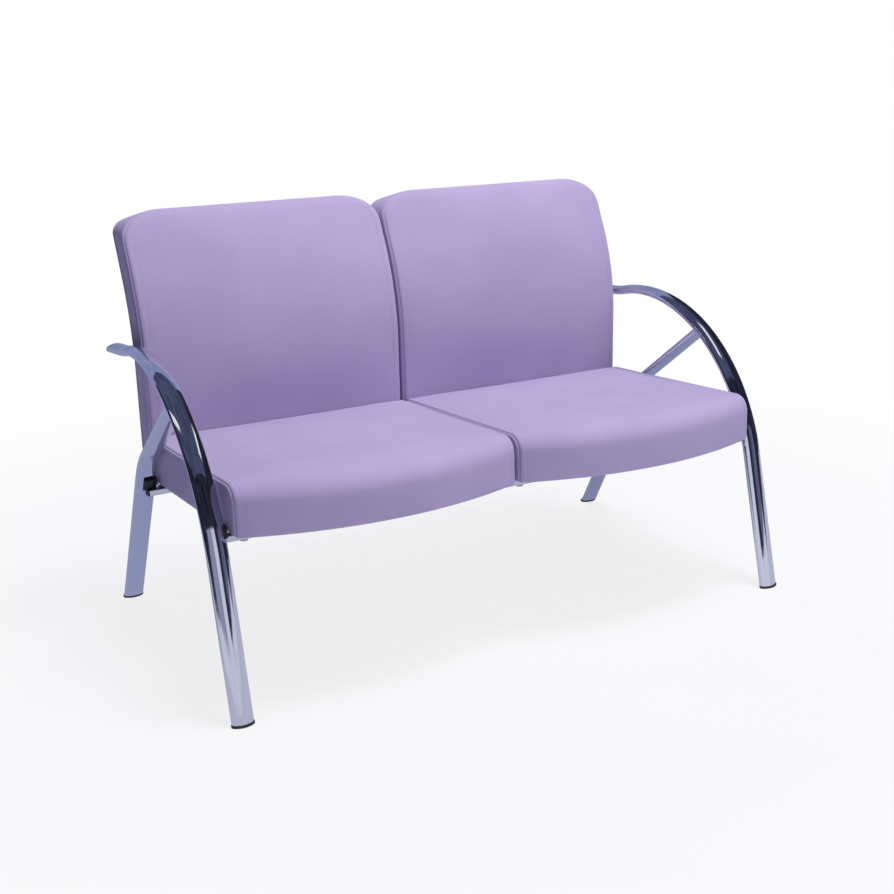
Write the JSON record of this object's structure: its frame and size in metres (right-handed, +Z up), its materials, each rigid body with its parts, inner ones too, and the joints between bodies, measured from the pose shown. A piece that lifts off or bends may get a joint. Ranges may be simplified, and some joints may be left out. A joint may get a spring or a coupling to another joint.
{
  "type": "waiting room bench seat",
  "caption": "Upholstered waiting room bench with separate seats and leaning backs side by side, carried by bent oval chrome tube side frames that form legs and armrests.",
  "frame": {"origin": "on the floor, in the middle of the footprint", "axes": "+X along the bench, -Y to the front, +Z up"},
  "size_m": [1.202, 0.6839, 0.806],
  "materials": {
    "chrome_tube": "polished chrome plate",
    "chrome_bar": "polished chrome plate",
    "black_plastic": "black moulded plastic",
    "rubber_pad": "matt black rubber",
    "plywood": "raw plywood",
    "dust_cloth": "black non-woven cloth",
    "upholstery": "soft lilac leathercloth over foam",
    "fixing_steel": "zinc plated steel"
  },
  "bodies": {
    "root": {"arm_leg_left": "chrome_tube", "arm_leg_right": "chrome_tube", "arm_plug_left": "black_plastic", "arm_plug_right": "black_plastic", "back_board_left": "plywood", "back_board_right": "plywood", "back_cover_left": "upholstery", "back_cover_right": "upholstery", "back_cushion_left": "upholstery", "back_cushion_right": "upholstery", "back_screws": "fixing_steel", "back_tee_nuts": "fixing_steel", "back_upright_left_inner": "fixing_steel", "back_upright_left_outer": "fixing_steel", "back_upright_right_inner": "fixing_steel", "back_upright_right_outer": "fixing_steel", "crossbar_end_caps": "black_plastic", "foot_front_left": "black_plastic", "foot_front_right": "black_plastic", "foot_rear_left": "black_plastic", "foot_rear_right": "black_plastic", "front_crossbar": "chrome_bar", "rear_crossbar": "chrome_bar", "rear_leg_left": "chrome_tube", "rear_leg_right": "chrome_tube", "saddle_front_left": "black_plastic", "saddle_front_right": "black_plastic", "saddle_rear_left": "black_plastic", "saddle_rear_right": "black_plastic", "saddle_screws": "fixing_steel", "seat_board_left": "plywood", "seat_board_right": "plywood", "seat_bolts": "fixing_steel", "seat_cushion_left": "upholstery", "seat_cushion_right": "upholstery", "seat_dust_cover_left": "dust_cloth", "seat_dust_cover_right": "dust_cloth", "seat_pads": "rubber_pad", "seat_tee_nuts": "fixing_steel", "seat_washers": "fixing_steel", "upright_bolts": "fixing_steel"}
  },
  "joints": []
}
